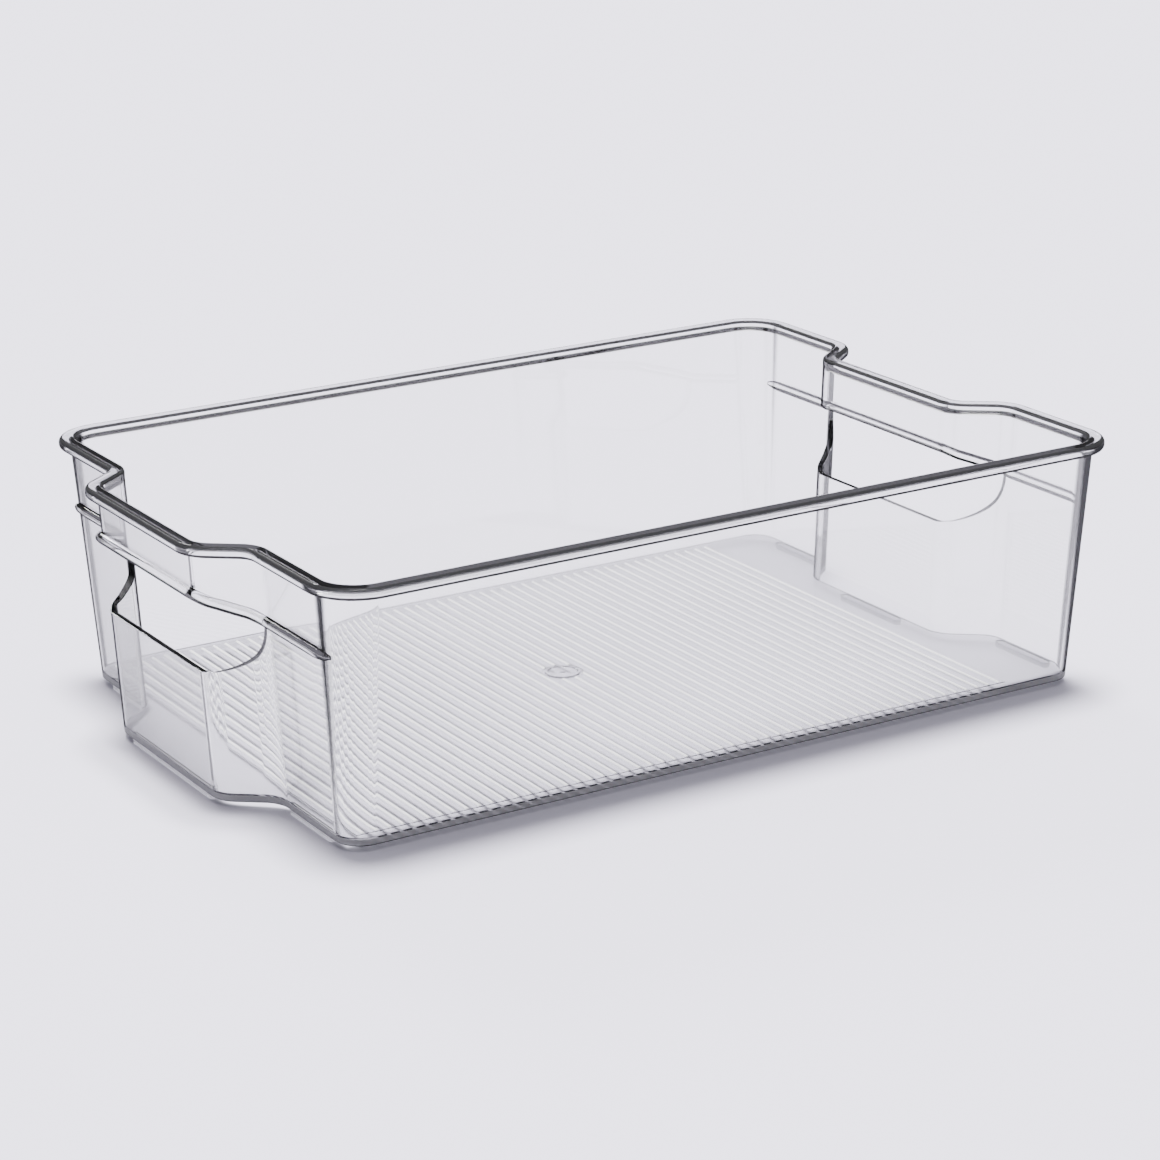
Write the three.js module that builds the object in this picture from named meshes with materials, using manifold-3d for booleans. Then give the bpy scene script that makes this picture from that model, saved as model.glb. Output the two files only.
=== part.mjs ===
// Clear stackable fridge bin: an open rectangular tray with a rolled rim, a finger opening in each end,
// a bulged left end that nests into the recessed right end, a ribbed floor and six low feet.
// The real bin is one injection moulding. Each mesh below is one named region of it, and the regions
// meet face to face. Millimetres, +Z up, X along the length, origin under the middle of the tray.
import * as THREE from 'three';
import { mergeVertices } from 'three/addons/utils/BufferGeometryUtils.js';
import Module from 'manifold-3d';

const wasm = await Module();
wasm.setup();

// Driving dimensions
const footHeight = 2;
const floorThickness = 2.7;
const wallThickness = 2;
const rimUnderside = 86;
const overallHeight = 90;
const baseHalfLength = 143.5;
const topHalfLength = 148;
const baseHalfWidth = 98.5;
const topHalfWidth = 107;
const baseCornerRadius = 9.5;
const topCornerRadius = 14;
const nestDepth = 16;
const middleHalfWidth = 34;
const bendOuterY = 56;
const openingBottom = 46;
const openingHalfWidth = 53;
const ledgeOuterHeight = 65.5;
const ledgeMiddleHeight = 72.5;
const ledgeProud = 2.2;
const ledgeDepth = 3;
const rimOverhang = 4;
const rimRound = 1.8;
const rimRoundMiddle = 0.6;
const rimInnerRound = 1.4;
const rimInnerMiddleIn = 0.7;
const rimInnerMiddleDown = 0.4;
const ribPitch = 4.6;
const ribCount = 55;
const ribFieldLeft = -130;
const ribFieldHalfWidth = 93.5;
const ribPadHeight = 0.2;
const ridgeHeight = 0.3;
const ridgeFoot = 0.65;
const ridgeCrest = 0.3;
const gateRadius = 6.3;
const gateHeight = 0.5;
const gateDish = 0.2;
const gateRing = 0.8;
const gatePin = 0.5;
const footWidth = 3.2;
const footFromEdge = 0.6;
const outerFootY = 70;
const outerFootLength = 29;
const leftMiddleFootLength = 62;
const rightMiddleFootLength = 36;

const cornerSteps = 6;
const bendSteps = 8;
const ledgeSteps = 6;
const ledgeSeam = 0.1;
const ledgeTipShare = 0.25;
const ledgeTaperStations = 2;
// Both ends bend the same way along X, so the outer parts are centred off the origin by half the bend
const outerCentre = nestDepth / 2;
const floorTop = footHeight + floorThickness;
const LEFT = -1;
const RIGHT = 1;

const plastic = { color: 0xe9ecef, roughness: 0.05, metalness: 0, transparent: true, opacity: 0.35 };
const bin = new THREE.Group();

function addMesh(name, geometry) {
  const mesh = new THREE.Mesh(geometry, new THREE.MeshStandardMaterial(plastic));
  mesh.name = name;
  bin.add(mesh);
}

// Height-dependent outline: the walls lean outwards from the floor to the rim
const lean = (z) => (z - footHeight) / (rimUnderside - footHeight);
const halfLength = (z) => THREE.MathUtils.lerp(baseHalfLength, topHalfLength, lean(z));
const halfWidth = (z) => THREE.MathUtils.lerp(baseHalfWidth, topHalfWidth, lean(z));
const cornerRadius = (z) => THREE.MathUtils.lerp(baseCornerRadius, topCornerRadius, lean(z));

// 1 across the middle of an end wall, 0 on its outer parts, and a smooth bend between
const middleShare = (y) => 1 - THREE.MathUtils.smoothstep(Math.abs(y), middleHalfWidth, bendOuterY);

function middleShareSlope(y) {
  const span = bendOuterY - middleHalfWidth;
  const t = THREE.MathUtils.clamp((Math.abs(y) - middleHalfWidth) / span, 0, 1);
  return -Math.sign(y) * 6 * t * (1 - t) / span;
}

// A station is a vertical line of the wall: its point on the outer face at any height, and its normal
function endStation(side, y) {
  const slope = -nestDepth * middleShareSlope(y);
  const length = Math.hypot(1, slope);
  return {
    y,
    normal: [side / length, -side * slope / length],
    at: (z) => [outerCentre + side * halfLength(z) - nestDepth * middleShare(y), y],
  };
}

// The same line where an end wall's outer part runs into the rounded corner
function cornerStation(side, front, turn) {
  const normal = [side * Math.cos(turn), front * Math.sin(turn)];
  return {
    normal,
    at: (z) => {
      const radius = cornerRadius(z);
      const centre = [outerCentre + side * (halfLength(z) - radius), front * (halfWidth(z) - radius)];
      return [centre[0] + radius * normal[0], centre[1] + radius * normal[1]];
    },
  };
}

const range = (count, make) => Array.from({ length: count }, (_, i) => make(i));

// Stations along one end wall between two widths, spaced evenly
const endStations = (side, yFrom, yTo, steps) =>
  range(steps + 1, (i) => endStation(side, THREE.MathUtils.lerp(yFrom, yTo, i / steps)));

// The whole end wall between its two corners, at the same stations as the panels use
function endPath(side) {
  const half = [
    ...endStations(side, bendOuterY, openingHalfWidth, 2),
    ...endStations(side, openingHalfWidth, middleHalfWidth, bendSteps).slice(1),
  ];
  return [...half.map((station) => endStation(side, -station.y)), ...half.toReversed()];
}

const cornerStations = (side, front) =>
  range(cornerSteps + 1, (i) => cornerStation(side, front, (Math.PI / 2) * (i / cornerSteps)));

const ledgeHeight = (y) => THREE.MathUtils.lerp(ledgeOuterHeight, ledgeMiddleHeight, middleShare(y));

function pointOn(station, z, outwards) {
  const [x, y] = station.at(z);
  return [x + station.normal[0] * outwards, y + station.normal[1] * outwards, z];
}

// A closed solid swept through rings of points, all rings with the same count of points
function sweepSolid(rings) {
  const size = rings[0].length;
  const positions = rings.flat(2);
  const index = [];
  for (let i = 0; i + 1 < rings.length; i += 1) {
    for (let j = 0; j < size; j += 1) {
      const a = i * size + j;
      const b = i * size + (j + 1) % size;
      index.push(a, b, a + size, b, b + size, a + size);
    }
  }
  const cap = capTriangles(rings[0]);
  const last = (rings.length - 1) * size;
  for (const [a, b, c] of cap) {
    index.push(a, c, b);
    index.push(last + a, last + b, last + c);
  }
  return solidFrom(positions, index);
}

// Triangles of one flat ring, found in the plane of the ring
function capTriangles(ring) {
  const points = ring.map((p) => new THREE.Vector3(...p));
  const normal = new THREE.Vector3();
  for (let i = 0; i < points.length; i += 1) {
    normal.add(new THREE.Vector3().crossVectors(points[i], points[(i + 1) % points.length]));
  }
  normal.normalize();
  const across = new THREE.Vector3().subVectors(points[1], points[0]).normalize();
  const up = new THREE.Vector3().crossVectors(normal, across);
  const flat = points.map((p) => new THREE.Vector2(p.dot(across), p.dot(up)));
  return THREE.ShapeUtils.triangulateShape(flat, []);
}

// A geometry whose faces point out
function solidFrom(positions, index) {
  const geometry = new THREE.BufferGeometry();
  geometry.setAttribute('position', new THREE.Float32BufferAttribute(positions, 3));
  const volume = signedVolume(positions, index);
  const outward = volume > 0 ? index : flipped(index);
  geometry.setIndex(outward);
  return geometry;
}

function signedVolume(positions, index) {
  const corner = (i) => new THREE.Vector3().fromArray(positions, index[i] * 3);
  let sum = 0;
  for (let i = 0; i < index.length; i += 3) {
    sum += corner(i).dot(new THREE.Vector3().crossVectors(corner(i + 1), corner(i + 2)));
  }
  return sum / 6;
}

function flipped(index) {
  const result = [];
  for (let i = 0; i < index.length; i += 3) {
    result.push(index[i], index[i + 2], index[i + 1]);
  }
  return result;
}

// A piece of wall over the given stations, from a bottom height to a top height that may vary
function wallPanel(stations, bottomOf, topOf) {
  return sweepSolid(stations.map((station, i) => [
    pointOn(station, bottomOf(station, i), 0),
    pointOn(station, bottomOf(station, i), -wallThickness),
    pointOn(station, topOf(station, i), -wallThickness),
    pointOn(station, topOf(station, i), 0),
  ]));
}

// Rolled rim: half-round outside, standing on the wall's top edge and overhanging it outwards
const rimSection = [
  [-wallThickness, rimUnderside],
  [-wallThickness, overallHeight - rimInnerRound],
  [-wallThickness + rimInnerMiddleIn, overallHeight - rimInnerMiddleDown],
  [-wallThickness + rimRound, overallHeight],
  [rimOverhang - rimRound, overallHeight],
  [rimOverhang - rimRoundMiddle, overallHeight - rimRoundMiddle],
  [rimOverhang, (rimUnderside + overallHeight) / 2],
  [rimOverhang - rimRoundMiddle, rimUnderside + rimRoundMiddle],
  [rimOverhang - rimRound, rimUnderside],
];

function rimPiece(stations) {
  return sweepSolid(stations.map((station) => {
    const [x, y] = station.at(rimUnderside);
    const [nx, ny] = station.normal;
    return rimSection.map(([out, z]) => [x + nx * out, y + ny * out, z]);
  }));
}

// Half-round ledge rib on the outside of an end wall, thinning to nothing at its two ends
function ledgeRib(stations, heights, shares) {
  return sweepSolid(stations.map((station, i) => range(ledgeSteps + 1, (k) => {
    const turn = Math.PI * (k / ledgeSteps) - Math.PI / 2;
    const z = heights[i] + Math.sin(turn) * (ledgeDepth / 2) * shares[i];
    return pointOn(station, z, ledgeSeam + Math.cos(turn) * ledgeProud * shares[i]);
  })));
}

const flatFrom = (value) => () => value;
const longWallStations = (front) => [
  cornerStation(LEFT, front, Math.PI / 2),
  cornerStation(RIGHT, front, Math.PI / 2),
];

// Long walls, their rims, the four corners and their rims
for (const [face, front] of [['front', -1], ['rear', 1]]) {
  const stations = longWallStations(front);
  addMesh(`${face}_wall`, wallPanel(stations, flatFrom(floorTop), flatFrom(rimUnderside)));
  addMesh(`${face}_rim`, rimPiece(stations));
  for (const [end, side] of [['left', LEFT], ['right', RIGHT]]) {
    const round = cornerStations(side, front);
    addMesh(`${end}_${face}_corner`, wallPanel(round, flatFrom(floorTop), flatFrom(rimUnderside)));
    addMesh(`${end}_${face}_corner_rim`, rimPiece(round));
  }
}

// Rounded lower edge of a finger opening: a quarter ellipse from the sill up to the ledge
function openingEdge(side, front) {
  const reach = openingHalfWidth - middleHalfWidth;
  const rise = ledgeHeight(openingHalfWidth) - openingBottom;
  return range(bendSteps + 1, (i) => {
    const turn = (Math.PI / 2) * (i / bendSteps);
    const station = endStation(side, front * (middleHalfWidth + reach * Math.sin(turn)));
    return { station, top: openingBottom + rise * (1 - Math.cos(turn)) };
  });
}

// End walls: a middle panel under the opening, a bend each side of it, the grip above, and outer panels
for (const [end, side] of [['left', LEFT], ['right', RIGHT]]) {
  const middle = endStations(side, -middleHalfWidth, middleHalfWidth, 1);
  addMesh(`${end}_sill_panel`, wallPanel(middle, flatFrom(floorTop), flatFrom(openingBottom)));
  addMesh(`${end}_grip`, wallPanel(middle, flatFrom(ledgeMiddleHeight), flatFrom(rimUnderside)));
  for (const [face, front] of [['front', -1], ['rear', 1]]) {
    const edge = openingEdge(side, front);
    const lower = edge.map((item) => item.station);
    addMesh(`${end}_${face}_bend`, wallPanel(lower, flatFrom(floorTop), (_, i) => edge[i].top));
    const upper = endStations(side, front * middleHalfWidth, front * openingHalfWidth, bendSteps);
    addMesh(`${end}_${face}_grip_bend`,
      wallPanel(upper, (station) => ledgeHeight(station.y), flatFrom(rimUnderside)));
    const outer = [
      ...endStations(side, front * openingHalfWidth, front * bendOuterY, 2),
      cornerStation(side, front, 0),
    ];
    addMesh(`${end}_${face}_outer_panel`, wallPanel(outer, flatFrom(floorTop), flatFrom(rimUnderside)));
  }
  const straight = endPath(side);
  const rimStations = [cornerStation(side, -1, 0), ...straight, cornerStation(side, 1, 0)];
  addMesh(`${end}_rim`, rimPiece(rimStations));
  const wrap = (front) => cornerStations(side, front).slice(0, 3);
  const path = [...wrap(-1).toReversed(), ...straight, ...wrap(1)];
  const heights = path.map((station) => ledgeHeight(station.y ?? bendOuterY));
  const fromTip = (i) => Math.min(i, path.length - 1 - i, ledgeTaperStations) / ledgeTaperStations;
  const shares = path.map((_, i) => THREE.MathUtils.lerp(ledgeTipShare, 1, fromTip(i)));
  addMesh(`${end}_ledge_rib`, ledgeRib(path, heights, shares));
}

// Floor: a plate inside the outline at its own height, its edge leaning like the walls above it
function outlineAt(z) {
  const stations = [
    ...cornerStations(LEFT, -1),
    ...cornerStations(RIGHT, -1).toReversed(),
    ...endPath(RIGHT),
    ...cornerStations(RIGHT, 1),
    ...cornerStations(LEFT, 1).toReversed(),
    ...endPath(LEFT).toReversed(),
  ];
  return stations.map((station) => pointOn(station, z, 0));
}

addMesh('floor_panel', sweepSolid([outlineAt(footHeight), outlineAt(floorTop)]));

// A closed mesh with shared vertices, as booleans need it
function welded(geometry) {
  geometry.deleteAttribute('normal');
  geometry.deleteAttribute('uv');
  return mergeVertices(geometry);
}

function toManifold(geometry) {
  const merged = welded(geometry);
  return new wasm.Manifold(new wasm.Mesh({
    numProp: 3,
    vertProperties: new Float32Array(merged.attributes.position.array),
    triVerts: new Uint32Array(merged.index.array),
  }));
}

function fromManifold(solid) {
  const mesh = solid.getMesh();
  const geometry = new THREE.BufferGeometry();
  geometry.setAttribute('position', new THREE.Float32BufferAttribute(mesh.vertProperties, 3));
  geometry.setIndex(Array.from(mesh.triVerts));
  return geometry;
}

// Ribbed field: a thin raised pad with fine ridges running across the tray, cut clear round the gate mark
function ribField() {
  const profile = new THREE.Shape();
  profile.moveTo(0, 0);
  profile.lineTo(ribPitch * ribCount, 0);
  profile.lineTo(ribPitch * ribCount, ribPadHeight);
  for (let i = ribCount - 1; i >= 0; i -= 1) {
    const crest = ribPitch * (i + 0.5);
    profile.lineTo(crest + ridgeFoot, ribPadHeight);
    profile.lineTo(crest + ridgeCrest, ribPadHeight + ridgeHeight);
    profile.lineTo(crest - ridgeCrest, ribPadHeight + ridgeHeight);
    profile.lineTo(crest - ridgeFoot, ribPadHeight);
  }
  profile.lineTo(0, ribPadHeight);
  const field = new THREE.ExtrudeGeometry(profile, { depth: 2 * ribFieldHalfWidth, bevelEnabled: false });
  field.rotateX(Math.PI / 2);
  field.translate(ribFieldLeft, ribFieldHalfWidth, floorTop);
  const clearance = new THREE.CylinderGeometry(gateRadius + 1, gateRadius + 1, 4, 32);
  clearance.rotateX(Math.PI / 2);
  clearance.translate(0, 0, floorTop);
  return fromManifold(toManifold(field).subtract(toManifold(clearance)));
}

addMesh('floor_rib_field', ribField());

// Gate mark: a low dished button left by the moulding gate
const gateProfile = [
  [0, 0],
  [gateRadius, 0],
  [gateRadius, gateHeight],
  [gateRadius - gateRing, gateHeight],
  [gateRadius - 1.5 * gateRing, gateDish],
  [1.2 * gatePin, gateDish],
  [gatePin, gateHeight],
  [0, gateHeight],
];
const gate = new THREE.LatheGeometry(gateProfile.map(([r, h]) => new THREE.Vector2(r, h)), 40);
gate.rotateX(Math.PI / 2);
gate.translate(0, 0, floorTop);
addMesh('gate_mark', welded(gate));

// Feet: straight strips with round ends, flush with the floor's end edges
function foot(x, y, length) {
  const radius = footWidth / 2;
  const half = length / 2 - radius;
  const outline = new THREE.Shape();
  outline.absarc(0, half, radius, 0, Math.PI, false);
  outline.absarc(0, -half, radius, Math.PI, 2 * Math.PI, false);
  outline.closePath();
  const strip = new THREE.ExtrudeGeometry(outline, { depth: footHeight, bevelEnabled: false, curveSegments: 8 });
  strip.translate(x, y, 0);
  return strip;
}

const footInset = footWidth / 2 + footFromEdge;
const footedEnds = [['left', LEFT, leftMiddleFootLength], ['right', RIGHT, rightMiddleFootLength]];
for (const [end, side, middleLength] of footedEnds) {
  const outerX = outerCentre + side * (baseHalfLength - footInset);
  const middleX = outerX - nestDepth;
  addMesh(`${end}_middle_foot`, foot(middleX, 0, middleLength));
  for (const [face, front] of [['front', -1], ['rear', 1]]) {
    addMesh(`${end}_${face}_foot`, foot(outerX, front * outerFootY, outerFootLength));
  }
}

export default bin;
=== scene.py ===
"""A clear moulded fridge bin: shell, rolled rim, ledge ribs, ribbed floor, gate mark and feet."""

import math

import bmesh
import bpy
from mathutils import Matrix, Vector


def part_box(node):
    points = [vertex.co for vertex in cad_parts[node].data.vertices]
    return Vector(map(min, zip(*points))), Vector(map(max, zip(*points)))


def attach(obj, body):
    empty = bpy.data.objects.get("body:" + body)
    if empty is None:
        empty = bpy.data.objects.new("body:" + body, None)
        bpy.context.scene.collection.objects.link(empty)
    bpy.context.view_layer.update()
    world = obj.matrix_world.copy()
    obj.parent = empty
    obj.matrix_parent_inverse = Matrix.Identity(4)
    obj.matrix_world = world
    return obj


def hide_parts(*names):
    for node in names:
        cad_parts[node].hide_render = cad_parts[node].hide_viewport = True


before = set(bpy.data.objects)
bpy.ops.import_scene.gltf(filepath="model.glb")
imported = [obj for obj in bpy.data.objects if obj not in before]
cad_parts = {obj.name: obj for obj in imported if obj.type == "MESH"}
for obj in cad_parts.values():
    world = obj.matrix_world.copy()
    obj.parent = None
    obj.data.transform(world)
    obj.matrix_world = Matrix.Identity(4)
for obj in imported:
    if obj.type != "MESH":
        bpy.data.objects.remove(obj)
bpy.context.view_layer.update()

# ---- Sizes, in metres, taken from the frame where it holds them ----
MM = 0.001
WALL = 2.0 * MM
EMBED = 0.05 * MM
floor_low, floor_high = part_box("floor_panel")
rim_low, rim_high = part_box("front_rim")
FLOOR_UNDER = floor_low[2]
FLOOR_TOP = floor_high[2]
RIM_UNDER = rim_low[2]
RIM_TOP = rim_high[2]
NEST = 16.0 * MM
OUTER_CENTRE = NEST / 2
BASE_HALF_LENGTH = 143.5 * MM
BASE_HALF_WIDTH = 98.5 * MM
LEAN_LENGTH = 4.5 * MM
LEAN_WIDTH = 8.5 * MM
BASE_CORNER = 9.5 * MM
TOP_CORNER = 14.0 * MM
BEND_INNER = 38.7 * MM
BEND_OUTER = 51.3 * MM
BEND_ROUND = 4.7 * MM
MIDDLE_HALF = 34.0 * MM
BEND_END = 56.0 * MM
OPENING_SILL = 46.0 * MM
OPENING_HALF = 53.0 * MM
LEDGE_LOW = 65.5 * MM
LEDGE_HIGH = 72.5 * MM
OPENING_CORNER = 18.5 * MM
OPENING_EDGE = 0.3 * MM
RIM_OVERHANG = 4.0 * MM
RIM_ROUND = 1.75 * MM
RIM_INNER_ROUND = 1.4 * MM
RIM_FILLET = 0.6 * MM
FLOOR_FILLET = 2.6 * MM
FLOOR_EDGE = 0.5 * MM
RIB_PITCH = 4.6 * MM
RIB_COUNT = 55
RIDGE_HEIGHT = 0.3 * MM
RIDGE_FOOT = 0.65 * MM
PAD_HEIGHT = 0.2 * MM
RIDGE_ROUND = 0.18 * MM
GATE_RADIUS = 6.3 * MM
GATE_RING = 0.8 * MM
GATE_SLOPE = 0.4 * MM
GATE_DISH = 0.3 * MM
GATE_FLAT = 4.2 * MM
GATE_NIB_SLOPE = 0.2 * MM
GATE_ROUND = 0.12 * MM
FOOT_CORNER = 1.55 * MM
FOOT_EDGE = 0.35 * MM
RIB_LEFT = -130.0 * MM
RIB_HALF_WIDTH = 93.5 * MM
LEDGE_RADIUS = 1.9 * MM
LEDGE_OUT = 0.35 * MM
LEDGE_TURN = [(0.05 * MM, 3.2 * MM), (0.3 * MM, 2.6 * MM), (0.7 * MM, 2.0 * MM)]
LEDGE_TAPER = [(5.5 * MM, 0.9), (3 * MM, 0.7), (0.5 * MM, 0.35)]
JOIN_TRIES = 6
JOIN_NUDGE = (0.004 * MM, 0, 0.003 * MM)
LEFT, RIGHT = -1, 1
FRONT, REAR = -1, 1

# ---- Finish, with painted shade ----
PLASTIC_IOR = 1.57
CLEAR_TINT = (0.99, 0.99, 0.992, 1)
FROSTED_TINT = (0.97, 0.965, 0.98, 1)
DEPTH_TINT = (0.3, 0.3, 0.31, 1)
ABSORPTION = 28.0
# Painted shade: the dark matt colour mixed into the plastic where its edges turn dark.
PAINTED_EDGE_SHADE = (0.02, 0.02, 0.021, 1)
# Painted shade: the grey of the floor slab's edge band.
PAINTED_FLOOR_EDGE_SHADE = (0.32, 0.32, 0.324, 1)
# Painted shade: the dark outline on upright ridge and foot faces seen from inside the plastic.
PAINTED_OUTLINE_SHADE = (0.05, 0.05, 0.052, 1)
LAMP_OPEN = (0.95, 0.95, 0.955, 1)
LAMP_DIM = (0.24, 0.24, 0.245, 1)
LAMP_FROSTED = (0.9, 0.9, 0.905, 1)
EDGE_STRENGTH = 0.97
LATE_BOUNCE = 2.5
CORNER_ZONE_X = (135.0 * MM, 138.5 * MM)
CORNER_ZONE_Y = (89.5 * MM, 93.0 * MM)
DIM_FRONT_Y = (-93.0 * MM, -88.0 * MM)
DIM_LEFT_X = (-133.5 * MM, -130.5 * MM)
# Heights over which the painted shade for light trapped in the plastic goes from less dark to darker.
TRAPPED_SHADE_Z = (4.8 * MM, 6.5 * MM)


def grey(level):
    """A faintly violet grey."""
    return (level * 0.985, level * 0.975, level * 1.03, 1)


# ---- Studio: how bright the air is against the sine of the height above the horizon ----
FLOOR_SHADE = (0.765, 0.738, 0.86, 1)
AIR_STRENGTH = 2.9
AIR_STOPS = [
    (0.0, grey(1.0)),
    (0.05, grey(1.0)),
    (0.11, grey(0.04)),
    (0.8, grey(0.03)),
    (0.95, grey(0.8)),
    (1.0, grey(0.8)),
]


# ---- Hand tools ----
def clear_selection():
    if bpy.context.mode != "OBJECT":
        bpy.ops.object.mode_set(mode="OBJECT")
    bpy.ops.object.select_all(action="DESELECT")


def named(name):
    piece = bpy.context.active_object
    piece.name = name
    piece.data.name = name
    return piece


def settle(piece):
    """Puts the piece's place, turn and scale into its mesh."""
    clear_selection()
    piece.select_set(True)
    bpy.context.view_layer.objects.active = piece
    bpy.ops.object.transform_apply(location=True, rotation=True, scale=True)
    return piece


def add_box(name, low, high):
    clear_selection()
    centre = (Vector(low) + Vector(high)) / 2
    bpy.ops.mesh.primitive_cube_add(size=1, location=centre)
    piece = named(name)
    piece.scale = Vector(high) - Vector(low)
    return settle(piece)


def edit(piece, mode="VERT"):
    clear_selection()
    piece.select_set(True)
    bpy.context.view_layer.objects.active = piece
    bpy.ops.object.mode_set(mode="EDIT")
    bpy.ops.mesh.select_mode(type=mode)


def done():
    bpy.ops.object.mode_set(mode="OBJECT")


def pick(piece, kind, test):
    """In edit mode, selects only the verts, edges or faces that pass the test."""
    bpy.ops.mesh.select_mode(type={"verts": "VERT", "edges": "EDGE", "faces": "FACE"}[kind])
    bpy.ops.mesh.select_all(action="DESELECT")
    shape = bmesh.from_edit_mesh(piece.data)
    for item in getattr(shape, kind):
        if test(item):
            item.select_set(True)
    bmesh.update_edit_mesh(piece.data)


def move(x=0.0, y=0.0, z=0.0):
    bpy.ops.transform.translate(value=(x, y, z))


def cut_at(axis, place):
    """Cuts the whole shape in two at one place along an axis, keeping both halves."""
    normal = [0, 0, 0]
    normal[axis] = 1
    bpy.ops.mesh.select_all(action="SELECT")
    bpy.ops.mesh.bisect(plane_co=[n * place for n in normal], plane_no=normal)


def apply_modifier(piece, kind, **settings):
    clear_selection()
    piece.select_set(True)
    bpy.context.view_layer.objects.active = piece
    modifier = piece.modifiers.new(kind.title(), kind)
    for key, value in settings.items():
        setattr(modifier, key, value)
    bpy.ops.object.modifier_apply(modifier=modifier.name)


def volume(piece):
    shape = bmesh.new()
    shape.from_mesh(piece.data)
    total = shape.calc_volume(signed=True)
    shape.free()
    return total


def boolean(piece, tool, operation):
    """Joins or cuts. If the result has lost or gained more than the tool's own volume, it is done again
    from the kept mesh with the tool a hair to one side."""
    before, most = volume(piece), abs(volume(tool)) * 1.02
    for _ in range(JOIN_TRIES):
        kept = piece.data.copy()
        apply_modifier(piece, "BOOLEAN", object=tool, operation=operation, solver="EXACT")
        change = volume(piece) - before
        if (0 < change < most) if operation == "UNION" else (-most < change < 0):
            bpy.data.meshes.remove(kept)
            break
        piece.data = kept
        for corner in tool.data.vertices:
            corner.co += Vector(JOIN_NUDGE)
    bpy.data.objects.remove(tool, do_unlink=True)


def smooth(piece, angle=32):
    clear_selection()
    piece.select_set(True)
    bpy.context.view_layer.objects.active = piece
    bpy.ops.object.shade_smooth_by_angle(angle=math.radians(angle))
    apply_modifier(piece, "WEIGHTED_NORMAL", keep_sharp=True, weight=100)


def smoothstep(t):
    t = min(1.0, max(0.0, t))
    return t * t * (3 - 2 * t)


def ledge_height(y):
    """The ledge runs high across the grip and steps down over each bend."""
    share = 1 - smoothstep((abs(y) - MIDDLE_HALF) / (BEND_END - MIDDLE_HALF))
    return LEDGE_LOW + (LEDGE_HIGH - LEDGE_LOW) * share


def wall_shift(z):
    """How far a wall has leant out at a height, as a share of its full lean."""
    return (z - FLOOR_UNDER) / (RIM_UNDER - FLOOR_UNDER)


# ---- Outline shared by the shell and the rim ----
def outline_sheet(name):
    """A flat sheet with the tray's base outline: bulged at the left, recessed at the right."""
    clear_selection()
    bpy.ops.mesh.primitive_plane_add(size=2, location=(OUTER_CENTRE, 0, FLOOR_UNDER))
    sheet = named(name)
    sheet.scale = (BASE_HALF_LENGTH, BASE_HALF_WIDTH, 1)
    settle(sheet)
    edit(sheet)
    cuts = (-BEND_OUTER, -BEND_INNER, BEND_INNER, BEND_OUTER)
    for place in cuts:
        cut_at(1, place)
    for place in cuts:
        pick(sheet, "edges", lambda e: all(abs(v.co.y - place) < 1e-6 for v in e.verts))
        bpy.ops.mesh.dissolve_edges(use_verts=False)
    pick(sheet, "verts", lambda v: abs(v.co.y) < BEND_INNER + 1e-6)
    move(x=-NEST)
    pick(sheet, "verts", lambda v: abs(v.co.y) > BASE_HALF_WIDTH - 1e-6)
    bpy.ops.mesh.bevel(offset=BASE_CORNER, offset_pct=0, segments=12, affect="VERTICES")
    pick(sheet, "verts", lambda v: abs(v.co.y) < BEND_OUTER + 1e-6)
    bpy.ops.mesh.bevel(offset=BEND_ROUND, offset_pct=0, segments=10, affect="VERTICES")
    return sheet


def raise_walls(sheet):
    """Pulls the sheet's edge up to the rim, then leans the walls and opens out the corners."""
    bpy.ops.mesh.select_mode(type="EDGE")
    bpy.ops.mesh.select_all(action="SELECT")
    bpy.ops.mesh.region_to_loop()
    height = RIM_UNDER - FLOOR_UNDER
    bpy.ops.mesh.extrude_edges_move(TRANSFORM_OT_translate={"value": (0, 0, height)})
    top = lambda v: v.co.z > RIM_UNDER - 1e-5
    end_line = BASE_HALF_WIDTH - BASE_CORNER - 1e-5
    for side in (LEFT, RIGHT):
        pick(sheet, "verts", lambda v: top(v) and v.co.x * side > 0)
        move(x=side * LEAN_LENGTH)
    for front in (FRONT, REAR):
        pick(sheet, "verts", lambda v: top(v) and v.co.y * front > end_line)
        move(y=front * LEAN_WIDTH)
    grow = TOP_CORNER / BASE_CORNER
    for side in (LEFT, RIGHT):
        for front in (FRONT, REAR):
            pick(sheet, "verts", lambda v: top(v) and v.co.x * side > 0 and v.co.y * front > end_line)
            corner = (
                OUTER_CENTRE + side * (BASE_HALF_LENGTH + LEAN_LENGTH),
                front * (BASE_HALF_WIDTH + LEAN_WIDTH),
                RIM_UNDER,
            )
            bpy.ops.transform.resize(value=(grow, grow, 1), center_override=corner)


def raise_rim_band(sheet):
    """Pulls the top edge straight up once more, for the band that the rim is rolled out of."""
    pick(sheet, "edges", lambda e: all(v.co.z > RIM_UNDER - 1e-5 for v in e.verts))
    bpy.ops.mesh.extrude_edges_move(TRANSFORM_OT_translate={"value": (0, 0, RIM_TOP - RIM_UNDER)})


def faces_out(place, direction):
    """True where a face looks away from the middle of the tray rather than into it."""
    return direction.x * (place.x - OUTER_CENTRE) + direction.y * place.y > 0


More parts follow.
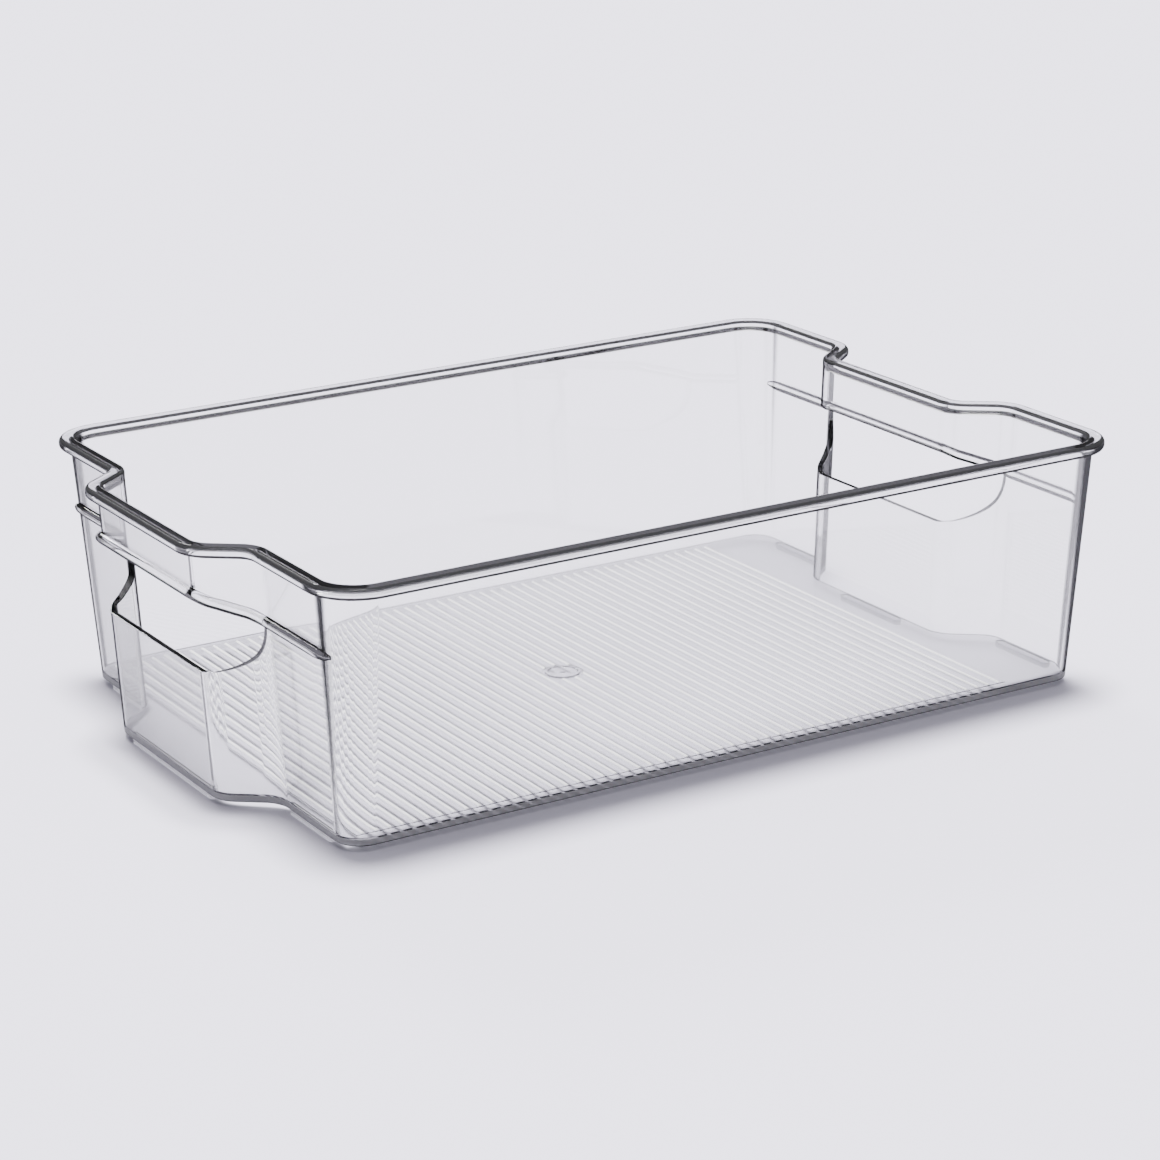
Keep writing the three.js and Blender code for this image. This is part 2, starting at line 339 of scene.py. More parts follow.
def roll_rim(shell):
    """Pushes the band's outer faces out over the wall and rounds them into the rim's rolled edge."""
    middle = (RIM_UNDER + RIM_TOP) / 2
    pick(shell, "faces", lambda f: abs(f.calc_center_median().z - middle) < MM
         and abs(f.normal.z) < 0.3 and faces_out(f.calc_center_median(), f.normal))
    bpy.ops.mesh.extrude_region_shrink_fatten(
        TRANSFORM_OT_shrink_fatten={"value": RIM_OVERHANG, "use_even_offset": True})
    lip = lambda e: abs(e.calc_face_angle(0) - math.pi / 2) < 0.35
    mid = lambda e: (e.verts[0].co + e.verts[1].co) / 2
    way = lambda e: e.link_faces[0].normal + e.link_faces[1].normal
    pick(shell, "edges", lambda e: lip(e) and mid(e).z > RIM_UNDER - 1e-4
         and e.is_convex and faces_out(mid(e), way(e)))
    bpy.ops.mesh.bevel(offset=RIM_ROUND, offset_pct=0, segments=6, affect="EDGES")
    pick(shell, "edges", lambda e: lip(e) and mid(e).z > RIM_TOP - 1e-4
         and e.is_convex and not faces_out(mid(e), way(e)))
    bpy.ops.mesh.bevel(offset=RIM_INNER_ROUND, offset_pct=0, segments=5, affect="EDGES")
    pick(shell, "edges", lambda e: lip(e) and mid(e).z > RIM_UNDER - 1e-4 and not e.is_convex)
    bpy.ops.mesh.bevel(offset=RIM_FILLET, offset_pct=0, segments=3, affect="EDGES")


# ---- Shell ----
def make_shell():
    shell = outline_sheet("bin_shell")
    raise_walls(shell)
    raise_rim_band(shell)
    bpy.ops.mesh.select_all(action="SELECT")
    bpy.ops.mesh.normals_make_consistent(inside=False)
    done()
    apply_modifier(shell, "SOLIDIFY", thickness=WALL, offset=-1, use_even_offset=True, use_rim=True)
    edit(shell)
    pick(shell, "verts", lambda v: abs(v.co.z - RIM_TOP) < 4e-4)
    bpy.ops.transform.resize(value=(1, 1, 0), center_override=(0, 0, RIM_TOP))
    roll_rim(shell)
    inner_floor = FLOOR_UNDER + WALL
    pick(shell, "verts", lambda v: abs(v.co.z - inner_floor) < 2e-4)
    move(z=FLOOR_TOP - inner_floor)
    pick(shell, "edges", lambda e: all(abs(v.co.z - FLOOR_TOP) < 1e-5 for v in e.verts))
    bpy.ops.mesh.bevel(offset=FLOOR_FILLET, offset_pct=0, segments=6, affect="EDGES")
    pick(shell, "edges", lambda e: all(abs(v.co.z - FLOOR_UNDER) < 1e-5 for v in e.verts))
    bpy.ops.mesh.bevel(offset=FLOOR_EDGE, offset_pct=0, segments=3, affect="EDGES")
    done()
    for side in (LEFT, RIGHT):
        boolean(shell, finger_cutter(side), "DIFFERENCE")
        soften_opening(shell, side)
    return shell


def soften_opening(shell, side):
    """Takes the sharpness off both edges of a finger opening."""
    edit(shell)

    def on_opening(e):
        if not e.is_convex or e.calc_face_angle(0) < math.radians(55):
            return False
        return all(
            v.co.x * side > 0.1
            and abs(v.co.y) < OPENING_HALF + 1e-4
            and OPENING_SILL - 1e-4 < v.co.z < LEDGE_HIGH + 1e-4
            for v in e.verts
        )

    pick(shell, "edges", on_opening)
    bpy.ops.mesh.bevel(offset=OPENING_EDGE, offset_pct=0, segments=2, affect="EDGES")
    done()


def finger_cutter(side):
    """A block with the finger opening's outline: low rounded corners, and a top that follows the ledge."""
    wall_x = OUTER_CENTRE + side * BASE_HALF_LENGTH - NEST
    reach = 24 * MM
    low = (wall_x - reach, -OPENING_HALF, OPENING_SILL)
    high = (wall_x + reach + NEST, OPENING_HALF, LEDGE_HIGH)
    cutter = add_box("finger_cutter", low, high)
    edit(cutter)
    pick(cutter, "edges", lambda e: all(
        v.co.z < OPENING_SILL + 1e-6 and abs(v.co.y) > OPENING_HALF - 1e-6 for v in e.verts))
    bpy.ops.mesh.bevel(offset=OPENING_CORNER, offset_pct=0, segments=16, affect="EDGES")
    steps = 6
    spots = [MIDDLE_HALF + (OPENING_HALF - MIDDLE_HALF) * i / steps for i in range(steps)]
    for place in spots:
        cut_at(1, place)
        cut_at(1, -place)
    for place in spots + [OPENING_HALF]:
        pick(cutter, "verts", lambda v: v.co.z > LEDGE_HIGH - 1e-6 and abs(abs(v.co.y) - place) < 1e-6)
        move(z=ledge_height(place) - LEDGE_HIGH)
    done()
    return cutter


# ---- Ledge ribs ----
def make_ledge(side):
    """A round bead along one end wall: high over the grip, stepping down past each bend, with round ends."""
    name = ("left" if side == LEFT else "right") + "_ledge"
    sheet = outline_sheet(name)
    bpy.ops.mesh.select_mode(type="EDGE")
    bpy.ops.mesh.select_all(action="SELECT")
    bpy.ops.mesh.region_to_loop()
    bpy.ops.mesh.select_all(action="INVERT")
    bpy.ops.mesh.delete(type="EDGE_FACE")
    end_y = BASE_HALF_WIDTH - BASE_CORNER + MM
    pick(sheet, "verts", lambda v: v.co.x * side < 0.11 or abs(v.co.y) > end_y)
    bpy.ops.mesh.delete(type="VERT")
    pick(sheet, "edges", lambda e: abs(e.verts[0].co.x - e.verts[1].co.x) > 6 * MM)
    bpy.ops.mesh.subdivide(number_cuts=5)
    pick(sheet, "edges", lambda e: abs(e.verts[0].co.y - e.verts[1].co.y) > 20 * MM)
    bpy.ops.mesh.subdivide(number_cuts=9)
    rows = sorted({round(v.co.y, 6) for v in bmesh.from_edit_mesh(sheet.data).verts})
    for y in rows:
        height = ledge_height(y)
        pick(sheet, "verts", lambda v: abs(v.co.y - y) < 1e-6)
        move(x=side * LEAN_LENGTH * wall_shift(height), z=height - FLOOR_UNDER)
    for front in (FRONT, REAR):
        for dx, dy in LEDGE_TURN:
            tip = max(v.co.y * front for v in bmesh.from_edit_mesh(sheet.data).verts)
            pick(sheet, "verts", lambda v: v.co.y * front > tip - 1e-6)
            bpy.ops.mesh.extrude_vertices_move(
                TRANSFORM_OT_translate={"value": (-side * dx, front * dy, 0)})
    bpy.ops.mesh.select_all(action="SELECT")
    move(x=side * LEDGE_OUT)
    done()
    bpy.ops.object.convert(target="CURVE")
    bead = bpy.context.active_object
    bead.data.bevel_depth = LEDGE_RADIUS
    bead.data.bevel_resolution = 5
    bead.data.use_fill_caps = True
    bpy.ops.object.mode_set(mode="EDIT")
    tip = max(abs(p.co.y) for p in bead.data.splines[0].points)
    for back_off, share in LEDGE_TAPER:
        bpy.ops.curve.select_all(action="DESELECT")
        for point in bead.data.splines[0].points:
            if abs(point.co.y) > tip - back_off:
                point.select = True
        bpy.ops.curve.radius_set(radius=share)
    bpy.ops.object.mode_set(mode="OBJECT")
    bpy.ops.object.convert(target="MESH")
    return bpy.context.active_object


# ---- Floor details ----
def make_rib_field():
    """A thin pad with one fine ridge repeated along it, cleared in a ring round the gate mark."""
    low_x, half_y = RIB_LEFT, RIB_HALF_WIDTH
    high_x = low_x + RIB_PITCH * RIB_COUNT
    pad_top = FLOOR_TOP + PAD_HEIGHT
    pad = add_box("rib_field", (low_x, -half_y, FLOOR_TOP - 0.3 * MM), (high_x, half_y, pad_top))
    first = low_x + RIB_PITCH / 2
    ridge = add_box("ridge", (first - RIDGE_FOOT, -half_y + 0.3 * MM, pad_top - EMBED),
                    (first + RIDGE_FOOT, half_y - 0.3 * MM, pad_top + RIDGE_HEIGHT))
    edit(ridge)
    pick(ridge, "verts", lambda v: v.co.z > pad_top)
    bpy.ops.transform.resize(value=(0.46, 0.998, 1), center_override=(first, 0, pad_top))
    pick(ridge, "edges", lambda e: all(v.co.z > pad_top for v in e.verts)
         and abs(e.verts[0].co.x - e.verts[1].co.x) < 1e-6)
    bpy.ops.mesh.bevel(offset=RIDGE_ROUND, offset_pct=0, segments=2, affect="EDGES")
    done()
    apply_modifier(ridge, "ARRAY", count=RIB_COUNT, use_relative_offset=False,
                   use_constant_offset=True, constant_offset_displace=(RIB_PITCH, 0, 0))
    boolean(pad, ridge, "UNION")
    clear_selection()
    bpy.ops.mesh.primitive_cylinder_add(vertices=64, radius=GATE_RADIUS + MM, depth=4 * MM,
                                        location=(0, 0, pad_top + 1.7 * MM))
    boolean(pad, settle(named("ridge_clearing")), "DIFFERENCE")
    return pad


def make_gate():
    """The low button where the plastic came in: a disc with a shallow dished top and a nib in the middle."""
    clear_selection()
    bpy.ops.mesh.primitive_cylinder_add(vertices=64, radius=GATE_RADIUS, depth=1.2 * MM,
                                        location=(0, 0, FLOOR_TOP - 0.1 * MM))
    gate = settle(named("gate_button"))
    edit(gate)
    pick(gate, "faces", lambda f: f.normal.z > 0.9)
    bpy.ops.mesh.inset(thickness=GATE_RING)
    bpy.ops.mesh.inset(thickness=GATE_SLOPE)
    move(z=-GATE_DISH)
    bpy.ops.mesh.inset(thickness=GATE_FLAT)
    bpy.ops.mesh.inset(thickness=GATE_NIB_SLOPE)
    move(z=GATE_DISH)
    pick(gate, "edges", lambda e: e.verts[0].co.z > FLOOR_TOP and e.verts[1].co.z > FLOOR_TOP
         and e.calc_face_angle(0) > 0.6)
    bpy.ops.mesh.bevel(offset=GATE_ROUND, offset_pct=0, segments=2, affect="EDGES")
    done()
    return gate


def make_foot(node):
    """A low bar under the floor with rounded ends and softened lower edges."""
    low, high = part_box(node)
    foot = add_box(node + "_bar", low, (high[0], high[1], FLOOR_UNDER + 0.3 * MM))
    edit(foot)
    pick(foot, "edges", lambda e: abs(e.verts[0].co.z - e.verts[1].co.z) > MM)
    bpy.ops.mesh.bevel(offset=FOOT_CORNER, offset_pct=0, segments=5, affect="EDGES")
    pick(foot, "edges", lambda e: all(v.co.z < 1e-5 for v in e.verts))
    bpy.ops.mesh.bevel(offset=FOOT_EDGE, offset_pct=0, segments=2, affect="EDGES")
    done()
    return foot


# ---- Material ----
def node_group(name, inputs, outputs):
    group = bpy.data.node_groups.new(name, "ShaderNodeTree")
    for label, kind, value in inputs:
        socket = group.interface.new_socket(name=label, in_out="INPUT", socket_type=kind)
        socket.default_value = value
    for label, kind in outputs:
        group.interface.new_socket(name=label, in_out="OUTPUT", socket_type=kind)
    return group, group.nodes.new("NodeGroupInput"), group.nodes.new("NodeGroupOutput")


def moulded_surface():
    """Value and normal of a polished moulding: faint slow waves, and a fine uneven polish."""
    group, given, out = node_group(
        "moulded surface",
        [("Wave", "NodeSocketFloat", 0.2)],
        [("Polish", "NodeSocketFloat"), ("Normal", "NodeSocketVector")],
    )
    nodes, link = group.nodes, group.links.new
    coords = nodes.new("ShaderNodeTexCoord")
    slow = nodes.new("ShaderNodeTexNoise")
    slow.inputs["Scale"].default_value = 22.0
    slow.inputs["Detail"].default_value = 1.0
    fine = nodes.new("ShaderNodeTexNoise")
    fine.inputs["Scale"].default_value = 160.0
    fine.inputs["Detail"].default_value = 3.0
    spread = nodes.new("ShaderNodeMapRange")
    spread.inputs["To Min"].default_value = 0.012
    spread.inputs["To Max"].default_value = 0.035
    bump = nodes.new("ShaderNodeBump")
    bump.inputs["Distance"].default_value = 0.0004
    link(coords.outputs["Object"], slow.inputs["Vector"])
    link(coords.outputs["Object"], fine.inputs["Vector"])
    link(fine.outputs["Fac"], spread.inputs["Value"])
    link(spread.outputs["Result"], out.inputs["Polish"])
    link(slow.outputs["Fac"], bump.inputs["Height"])
    link(given.outputs["Wave"], bump.inputs["Strength"])
    link(bump.outputs["Normal"], out.inputs["Normal"])
    return group


def ramp_node(nodes, low, high, start=0.0, end=1.0, curve="SMOOTHSTEP"):
    """A value node that goes from start to end while its input goes from low to high."""
    node = nodes.new("ShaderNodeMapRange")
    node.interpolation_type = curve
    node.inputs["From Min"].default_value = low
    node.inputs["From Max"].default_value = high
    node.inputs["To Min"].default_value = start
    node.inputs["To Max"].default_value = end
    return node


def maths(nodes, operation, link, *given):
    """A maths node with its inputs already joined or set."""
    node = nodes.new("ShaderNodeMath")
    node.operation = operation
    for place, value in enumerate(given):
        if isinstance(value, float):
            node.inputs[place].default_value = value
        else:
            link(value, node.inputs[place])
    return node.outputs[0]


def edge_shade():
    """Painted shade where thick clear plastic looks dark, in place of the dark its edges refract. Edge is how
    much,
    Shade is the painted colour there: upright faces that turn edge-on, more of them round the four corners,
    the rim's underside and rounded top, and the floor's edge, which is painted as a grey band."""
    group, given, out = node_group(
        "edge shade",
        [("Facing", "NodeSocketFloat", 0.0), ("Normal", "NodeSocketVector", (0, 0, 1))],
        [("Edge", "NodeSocketFloat"), ("Shade", "NodeSocketColor")],
    )
    nodes, link = group.nodes, group.links.new
    way = nodes.new("ShaderNodeSeparateXYZ")
    link(given.outputs["Normal"], way.inputs["Vector"])
    # Painted shade on upright faces seen edge-on, and more of it round the four corners.
    upright = ramp_node(nodes, 0.35, 0.75, 1.0, 0.0, "LINEAR")
    link(way.outputs["Z"], upright.inputs["Value"])
    turned = ramp_node(nodes, 0.57, 0.76)
    link(given.outputs["Facing"], turned.inputs["Value"])
    coords = nodes.new("ShaderNodeTexCoord")
    where = nodes.new("ShaderNodeSeparateXYZ")
    link(coords.outputs["Object"], where.inputs["Vector"])
    off_x = maths(nodes, "SUBTRACT", link, where.outputs["X"], OUTER_CENTRE)
    far_x = ramp_node(nodes, *CORNER_ZONE_X)
    far_y = ramp_node(nodes, *CORNER_ZONE_Y)
    link(maths(nodes, "ABSOLUTE", link, off_x), far_x.inputs["Value"])
    link(maths(nodes, "ABSOLUTE", link, where.outputs["Y"]), far_y.inputs["Value"])
    corner = maths(nodes, "MULTIPLY", link, far_x.outputs[0], far_y.outputs[0])
    rounding = ramp_node(nodes, 0.33, 0.5)
    link(given.outputs["Facing"], rounding.inputs["Value"])
    corner = maths(nodes, "MULTIPLY", link, corner, rounding.outputs[0])
    most = maths(nodes, "MAXIMUM", link, turned.outputs[0], corner)
    edge_on = maths(nodes, "MULTIPLY", link, most, upright.outputs[0])
    # Painted shade on faces turned downward, such as the rim's underside.
    under_from = ramp_node(nodes, -0.36, -0.14, 1.0, 0.0)
    under_to = ramp_node(nodes, -0.985, -0.9, 0.0, 1.0)
    link(way.outputs["Z"], under_from.inputs["Value"])
    link(way.outputs["Z"], under_to.inputs["Value"])
    under = maths(nodes, "MULTIPLY", link, under_from.outputs[0], under_to.outputs[0])
    lines = maths(nodes, "MAXIMUM", link, edge_on, under)
    # Painted shade on the rim's rounded top, within about 2 mm of its top face.
    rim_top_from = ramp_node(nodes, 0.2, 0.45)
    rim_top_to = ramp_node(nodes, 0.95, 0.99, 1.0, 0.0)
    rim_top_high = ramp_node(nodes, RIM_TOP - 2.0 * MM, RIM_TOP - 1.4 * MM, 0.0, 1.0)
    link(way.outputs["Z"], rim_top_from.inputs["Value"])
    link(way.outputs["Z"], rim_top_to.inputs["Value"])
    link(where.outputs["Z"], rim_top_high.inputs["Value"])
    rim_top_shade = maths(nodes, "MULTIPLY", link, rim_top_from.outputs[0], rim_top_to.outputs[0])
    rim_top_shade = maths(nodes, "MULTIPLY", link, rim_top_shade, rim_top_high.outputs[0])
    lines = maths(nodes, "MAXIMUM", link, lines, rim_top_shade)
    level = maths(nodes, "ABSOLUTE", link, way.outputs["Z"])
    # Painted shade: upright faces of the floor slab get a grey band.
    standing = ramp_node(nodes, 0.2, 0.4, 0.86, 0.0)
    slab = ramp_node(nodes, FLOOR_TOP - 0.3 * MM, FLOOR_TOP, 1.0, 0.0)
    link(level, standing.inputs["Value"])
    link(where.outputs["Z"], slab.inputs["Value"])
    band = maths(nodes, "MULTIPLY", link, standing.outputs[0], slab.outputs[0])
    link(maths(nodes, "MAXIMUM", link, lines, band), out.inputs["Edge"])
    shades = nodes.new("ShaderNodeMix")
    shades.data_type = "RGBA"
    shades.inputs["A"].default_value = PAINTED_EDGE_SHADE
    shades.inputs["B"].default_value = PAINTED_FLOOR_EDGE_SHADE
    link(band, shades.inputs["Factor"])
    link(shades.outputs["Result"], out.inputs["Shade"])
    return group


def lamp_shade():
    """How much lamp light each face lets by: most of it, but little along the front and the left end.
    Light that has bounced about inside the plastic comes out through a painted shade, less dark low in the
    slab."""
    group, given, out = node_group(
        "lamp shade",
        [("Trapped", "NodeSocketFloat", 0.0)],
        [("Color", "NodeSocketColor")],
    )
    nodes, link = group.nodes, group.links.new
    coords = nodes.new("ShaderNodeTexCoord")
    where = nodes.new("ShaderNodeSeparateXYZ")
    link(coords.outputs["Object"], where.inputs["Vector"])
    front = ramp_node(nodes, *DIM_FRONT_Y, 1.0, 0.0)
    bulge = ramp_node(nodes, MIDDLE_HALF, BEND_END, NEST, 0.0)
    left = ramp_node(nodes, *DIM_LEFT_X, 1.0, 0.0)
    link(where.outputs["Y"], front.inputs["Value"])
    link(maths(nodes, "ABSOLUTE", link, where.outputs["Y"]), bulge.inputs["Value"])
    link(maths(nodes, "ADD", link, where.outputs["X"], bulge.outputs[0]), left.inputs["Value"])
    dim = maths(nodes, "MAXIMUM", link, front.outputs[0], left.outputs[0])
    shades = nodes.new("ShaderNodeMix")
    shades.data_type = "RGBA"
    shades.inputs["A"].default_value = LAMP_OPEN
    shades.inputs["B"].default_value = LAMP_DIM
    # Painted shade for trapped light: a fixed tint, less dark low in the floor slab than higher up.
    low_down = ramp_node(nodes, *TRAPPED_SHADE_Z, 0.45, 0.08)
    link(where.outputs["Z"], low_down.inputs["Value"])
    trapped_shade = nodes.new("ShaderNodeCombineColor")
    for band in ("Red", "Green", "Blue"):
        link(low_down.outputs[0], trapped_shade.inputs[band])
    inside = nodes.new("ShaderNodeMix")
    inside.data_type = "RGBA"
    link(trapped_shade.outputs["Color"], inside.inputs["B"])
    link(dim, shades.inputs["Factor"])
    link(given.outputs["Trapped"], inside.inputs["Factor"])
    link(shades.outputs["Result"], inside.inputs["A"])
    link(inside.outputs["Result"], out.inputs["Color"])
    return group


def clear_plastic():
    """Polished plastic seen through, darkened at its edges by painted shade. Lamps shine through it by the
    lamp shade.
    """
    material = bpy.data.materials.new("clear_plastic")
    material.use_nodes = True
    nodes, link = material.node_tree.nodes, material.node_tree.links.new
    nodes.clear()
    surface = nodes.new("ShaderNodeGroup")
    surface.node_tree = moulded_surface()
    surface.inputs["Wave"].default_value = 0.12
    body = nodes.new("ShaderNodeBsdfPrincipled")
    body.inputs["Base Color"].default_value = CLEAR_TINT
    body.inputs["Metallic"].default_value = 0.0
    body.inputs["IOR"].default_value = PLASTIC_IOR
    body.inputs["Transmission Weight"].default_value = 1.0
    link(surface.outputs["Polish"], body.inputs["Roughness"])
    link(surface.outputs["Normal"], body.inputs["Normal"])
    turning = nodes.new("ShaderNodeLayerWeight")
    turning.inputs["Blend"].default_value = 0.5
    shape = nodes.new("ShaderNodeNewGeometry")
    edge = nodes.new("ShaderNodeGroup")
    edge.node_tree = edge_shade()
    link(turning.outputs["Facing"], edge.inputs["Facing"])
    link(shape.outputs["True Normal"], edge.inputs["Normal"])
    # Painted shade: a dark matt layer mixed in where the edge shade marks the plastic's edges.
    dark = nodes.new("ShaderNodeBsdfDiffuse")
    link(edge.outputs["Shade"], dark.inputs["Color"])
    edged = nodes.new("ShaderNodeMixShader")
    strength = nodes.new("ShaderNodeMath")
    strength.operation = "MULTIPLY"
    strength.inputs[1].default_value = EDGE_STRENGTH
    link(edge.outputs["Edge"], strength.inputs[0])
    link(strength.outputs[0], edged.inputs["Fac"])
    link(body.outputs["BSDF"], edged.inputs[1])
    link(dark.outputs["BSDF"], edged.inputs[2])
    depth = nodes.new("ShaderNodeVolumeAbsorption")
    depth.inputs["Color"].default_value = DEPTH_TINT
    depth.inputs["Density"].default_value = ABSORPTION
    tint = nodes.new("ShaderNodeGroup")
    tint.node_tree = lamp_shade()
    through = nodes.new("ShaderNodeBsdfTransparent")
    ray = nodes.new("ShaderNodeLightPath")
    # Rays past a few glossy bounces count as trapped and go on through the lamp shade's painted dark tint.
    late = nodes.new("ShaderNodeMath")
    late.operation = "GREATER_THAN"
    late.inputs[1].default_value = LATE_BOUNCE
    either = nodes.new("ShaderNodeMath")
    either.operation = "MAXIMUM"
    any_of = nodes.new("ShaderNodeMath")
    any_of.operation = "MAXIMUM"
    choose = nodes.new("ShaderNodeMixShader")
    out = nodes.new("ShaderNodeOutputMaterial")
    link(late.outputs[0], tint.inputs["Trapped"])
    link(tint.outputs["Color"], through.inputs["Color"])
    link(ray.outputs["Glossy Depth"], late.inputs[0])
    link(ray.outputs["Is Shadow Ray"], either.inputs[0])
    link(ray.outputs["Is Diffuse Ray"], either.inputs[1])
    link(either.outputs[0], any_of.inputs[0])
    link(late.outputs[0], any_of.inputs[1])
    link(any_of.outputs[0], choose.inputs["Fac"])
    link(edged.outputs["Shader"], choose.inputs[1])
    link(through.outputs["BSDF"], choose.inputs[2])
    link(choose.outputs["Shader"], out.inputs["Surface"])
    link(depth.outputs["Volume"], out.inputs["Volume"])
    return material


def frosted_plastic():
    """The same plastic where the tool left it matt: the ridges and the feet scatter part of the light.
    Their upright faces, seen from inside the plastic, get a painted dark outline.
    """
    material = bpy.data.materials.new("frosted_plastic")
    material.use_nodes = True
    nodes, link = material.node_tree.nodes, material.node_tree.links.new
    body = nodes["Principled BSDF"]
    coords = nodes.new("ShaderNodeTexCoord")
    speck = nodes.new("ShaderNodeTexNoise")
    speck.inputs["Scale"].default_value = 500.0
    speck.inputs["Detail"].default_value = 2.0
    matt = ramp_node(nodes, 0.3, 0.7, 0.28, 0.42)
    link(coords.outputs["Object"], speck.inputs["Vector"])
    link(speck.outputs["Fac"], matt.inputs["Value"])
    link(matt.outputs[0], body.inputs["Roughness"])
    body.inputs["Base Color"].default_value = FROSTED_TINT
    body.inputs["IOR"].default_value = PLASTIC_IOR
    body.inputs["Transmission Weight"].default_value = 0.25
    face = nodes.new("ShaderNodeNewGeometry")
    way = nodes.new("ShaderNodeSeparateXYZ")
    level = nodes.new("ShaderNodeMath")
    level.operation = "ABSOLUTE"
    upright = ramp_node(nodes, 0.2, 0.5, 0.75, 0.0)
    inside = nodes.new("ShaderNodeMath")
    inside.operation = "MULTIPLY"
    # Painted shade: a dark matt outline on upright faces seen from inside the plastic.
    dark = nodes.new("ShaderNodeBsdfDiffuse")
    dark.inputs["Color"].default_value = PAINTED_OUTLINE_SHADE
    outlined = nodes.new("ShaderNodeMixShader")
    link(face.outputs["True Normal"], way.inputs["Vector"])
    link(way.outputs["Z"], level.inputs[0])
    link(level.outputs[0], upright.inputs["Value"])
    link(upright.outputs[0], inside.inputs[0])
    link(face.outputs["Backfacing"], inside.inputs[1])
    link(inside.outputs[0], outlined.inputs["Fac"])
    link(body.outputs["BSDF"], outlined.inputs[1])
    link(dark.outputs["BSDF"], outlined.inputs[2])
    through = nodes.new("ShaderNodeBsdfTransparent")
    through.inputs["Color"].default_value = LAMP_FROSTED
    ray = nodes.new("ShaderNodeLightPath")
    either = nodes.new("ShaderNodeMath")
    either.operation = "MAXIMUM"
    choose = nodes.new("ShaderNodeMixShader")
    link(ray.outputs["Is Shadow Ray"], either.inputs[0])
    link(ray.outputs["Is Diffuse Ray"], either.inputs[1])
    link(either.outputs[0], choose.inputs["Fac"])
    link(outlined.outputs["Shader"], choose.inputs[1])
    link(through.outputs["BSDF"], choose.inputs[2])
    link(choose.outputs["Shader"], nodes["Material Output"].inputs["Surface"])
    return material


def frost(shell):
    """Gives the frosted finish to the ridges above the pad and to the feet under the floor."""
    edit(shell)
    pad_top = FLOOR_TOP + PAD_HEIGHT
    in_field = lambda c: RIB_LEFT < c.x < RIB_LEFT + RIB_PITCH * RIB_COUNT and abs(c.y) < RIB_HALF_WIDTH
    clear_of_gate = lambda c: math.hypot(c.x, c.y) > GATE_RADIUS + 1.5 * MM

    def matt(face):
        c = face.calc_center_median()
        on_ridge = pad_top + 0.01 * MM < c.z < pad_top + 2 * RIDGE_HEIGHT
        on_foot = c.z < FLOOR_UNDER - 0.02 * MM
        return on_foot or (on_ridge and in_field(c) and clear_of_gate(c))

    pick(shell, "faces", matt)
    bpy.context.object.active_material_index = 1
    bpy.ops.object.material_slot_assign()
    done()


# ---- Build ----
shell = make_shell()
for side in (LEFT, RIGHT):
    boolean(shell, make_ledge(side), "UNION")
boolean(shell, make_rib_field(), "UNION")
boolean(shell, make_gate(), "UNION")
for foot_node in [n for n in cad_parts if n.endswith("_foot")]:
    boolean(shell, make_foot(foot_node), "UNION")
smooth(shell)
shell.data.materials.append(clear_plastic())
shell.data.materials.append(frosted_plastic())
frost(shell)
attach(shell, "root")
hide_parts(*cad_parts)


# ---- Studio ----
def studio_floor():
    clear_selection()
    bpy.ops.mesh.primitive_circle_add(vertices=96, radius=60, fill_type="NGON", location=(0, 0, 0))
    floor = settle(named("studio_floor"))
    material = bpy.data.materials.new("studio_paper")
    material.use_nodes = True
    nodes, link = material.node_tree.nodes, material.node_tree.links.new
    body = nodes["Principled BSDF"]
    coords = nodes.new("ShaderNodeTexCoord")
    grain = nodes.new("ShaderNodeTexNoise")
    grain.inputs["Scale"].default_value = 900.0
    shades = nodes.new("ShaderNodeMix")
    shades.data_type = "RGBA"
    shades.inputs["A"].default_value = FLOOR_SHADE
    shades.inputs["B"].default_value = tuple(0.985 * c for c in FLOOR_SHADE[:3]) + (1,)
    link(coords.outputs["Object"], grain.inputs["Vector"])
    link(grain.outputs["Fac"], shades.inputs["Factor"])
    link(shades.outputs["Result"], body.inputs["Base Color"])
    body.inputs["Roughness"].default_value = 1.0
    body.inputs["Specular IOR Level"].default_value = 0.0
    floor.data.materials.append(material)


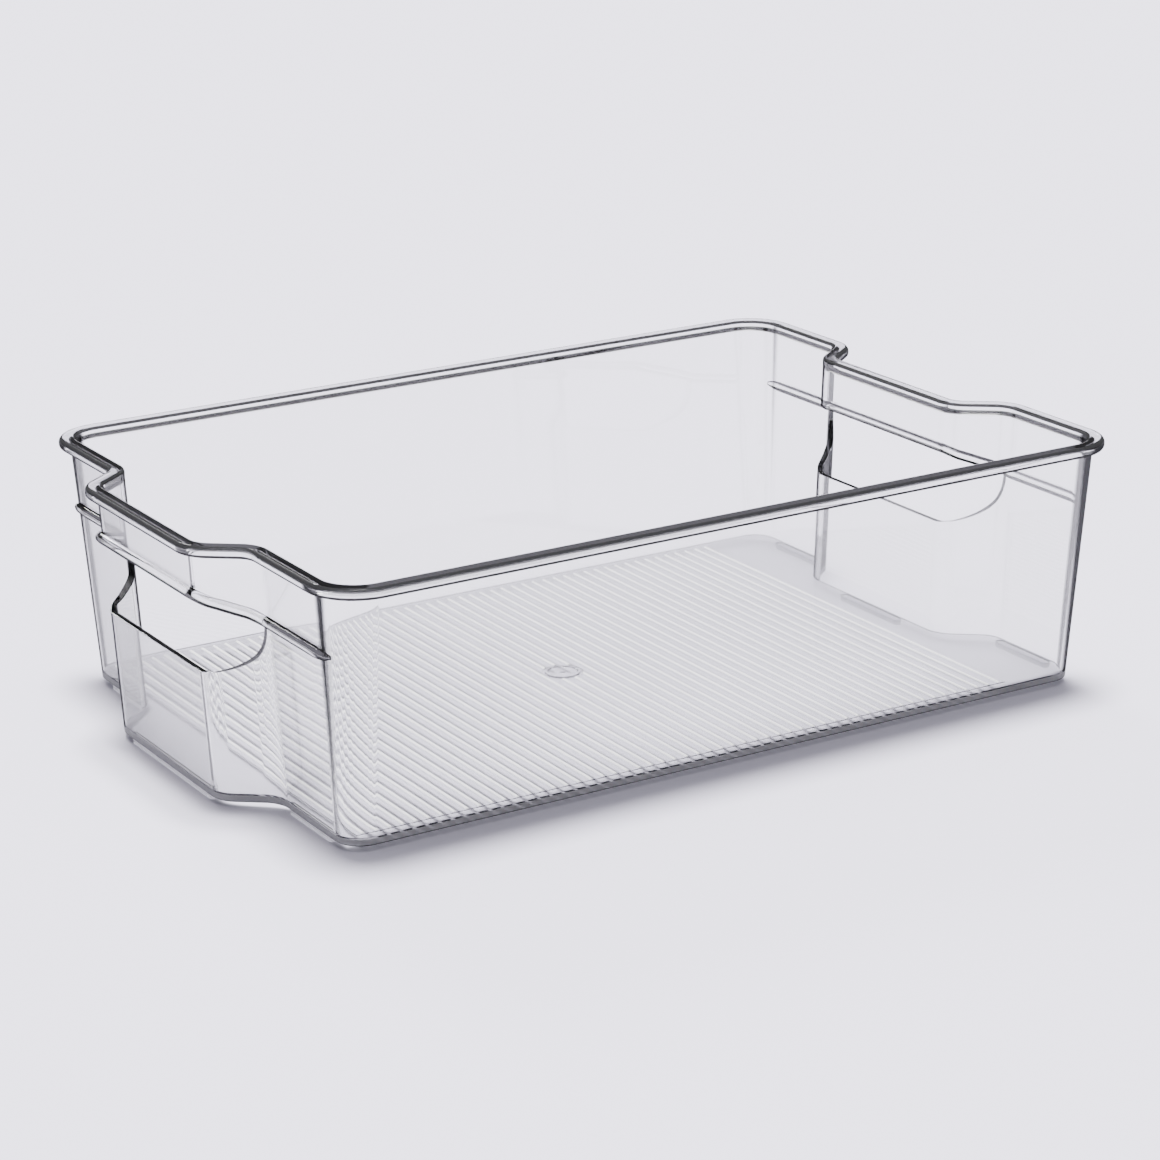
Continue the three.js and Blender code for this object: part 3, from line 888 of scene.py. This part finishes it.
def studio_air():
    """Bright round the horizon like a lit paper sweep, darker overhead."""
    world = bpy.data.worlds.new("studio")
    bpy.context.scene.world = world
    world.use_nodes = True
    nodes, link = world.node_tree.nodes, world.node_tree.links.new
    nodes.clear()
    coords = nodes.new("ShaderNodeTexCoord")
    split = nodes.new("ShaderNodeSeparateXYZ")
    ramp = nodes.new("ShaderNodeValToRGB")
    for element, (place, shade) in zip(ramp.color_ramp.elements, (AIR_STOPS[0], AIR_STOPS[-1])):
        element.position = place
        element.color = shade
    for place, shade in AIR_STOPS[1:-1]:
        ramp.color_ramp.elements.new(place).color = shade
    light = nodes.new("ShaderNodeBackground")
    light.inputs["Strength"].default_value = AIR_STRENGTH
    out = nodes.new("ShaderNodeOutputWorld")
    link(coords.outputs["Generated"], split.inputs["Vector"])
    link(split.outputs["Z"], ramp.inputs["Fac"])
    link(ramp.outputs["Color"], light.inputs["Color"])
    link(light.outputs["Background"], out.inputs["Surface"])


def soft_sun(name, azimuth, elevation, strength, spread):
    """A broad distant lamp. Azimuth is measured from +X towards +Y."""
    a, e = math.radians(azimuth), math.radians(elevation)
    toward = Vector((math.cos(a) * math.cos(e), math.sin(a) * math.cos(e), math.sin(e)))
    lamp = bpy.data.lights.new(name, "SUN")
    lamp.energy = strength
    lamp.angle = math.radians(spread)
    holder = bpy.data.objects.new(name, lamp)
    holder.rotation_mode = "QUATERNION"
    holder.rotation_quaternion = toward.to_track_quat("Z", "Y")
    bpy.context.collection.objects.link(holder)


studio_floor()
studio_air()
soft_sun("key", azimuth=62, elevation=86, strength=10.2, spread=16)
soft_sun("back", azimuth=85, elevation=34, strength=1.6, spread=16)


# ---- Camera ----
camera_data = bpy.data.cameras.new("camera")
camera = bpy.data.objects.new("camera", camera_data)
bpy.context.collection.objects.link(camera)
bpy.context.scene.camera = camera
camera_data.lens = 104.6
camera_data.sensor_width = 36.0
camera_data.clip_start = 0.05
camera_data.clip_end = 200.0
back = Vector((-0.4875, -0.8155, 0.3120)).normalized()
up = Vector((0.1745, 0.2591, 0.9500))
side_way = up.cross(back).normalized()
up = back.cross(side_way)
place = Vector((-0.568, -0.964, 0.406))
camera.matrix_world = Matrix.Translation(place) @ Matrix((side_way, up, back)).transposed().to_4x4()
